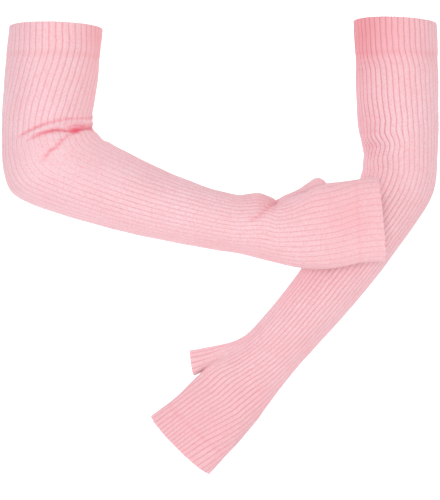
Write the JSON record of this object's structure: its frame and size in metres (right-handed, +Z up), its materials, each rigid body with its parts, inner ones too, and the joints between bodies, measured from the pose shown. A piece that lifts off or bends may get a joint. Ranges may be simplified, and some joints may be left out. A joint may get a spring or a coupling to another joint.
{
  "type": "pair of knitted arm warmers",
  "caption": "Long fingerless arm warmers in rib knit, bent at the elbows, one hand laid over the other forearm, with short thumb openings and turned welts.",
  "frame": {"origin": "centre of the right warmer's upper opening, where the right upper arm enters it", "axes": "+X to the left warmer, as the viewer sees the pair from the front; +Y away from the viewer; +Z up along the upper arms"},
  "size_m": [0.4359, 0.1266, 0.4474],
  "materials": {
    "rose_knit": "matt rib knit"
  },
  "bodies": {
    "root": {"right_upper_welt": "rose_knit", "right_sleeve": "rose_knit", "right_hand_welt": "rose_knit", "right_thumb_welt": "rose_knit", "left_upper_welt": "rose_knit", "left_sleeve": "rose_knit", "left_hand_welt": "rose_knit", "left_thumb_welt": "rose_knit"}
  },
  "joints": []
}
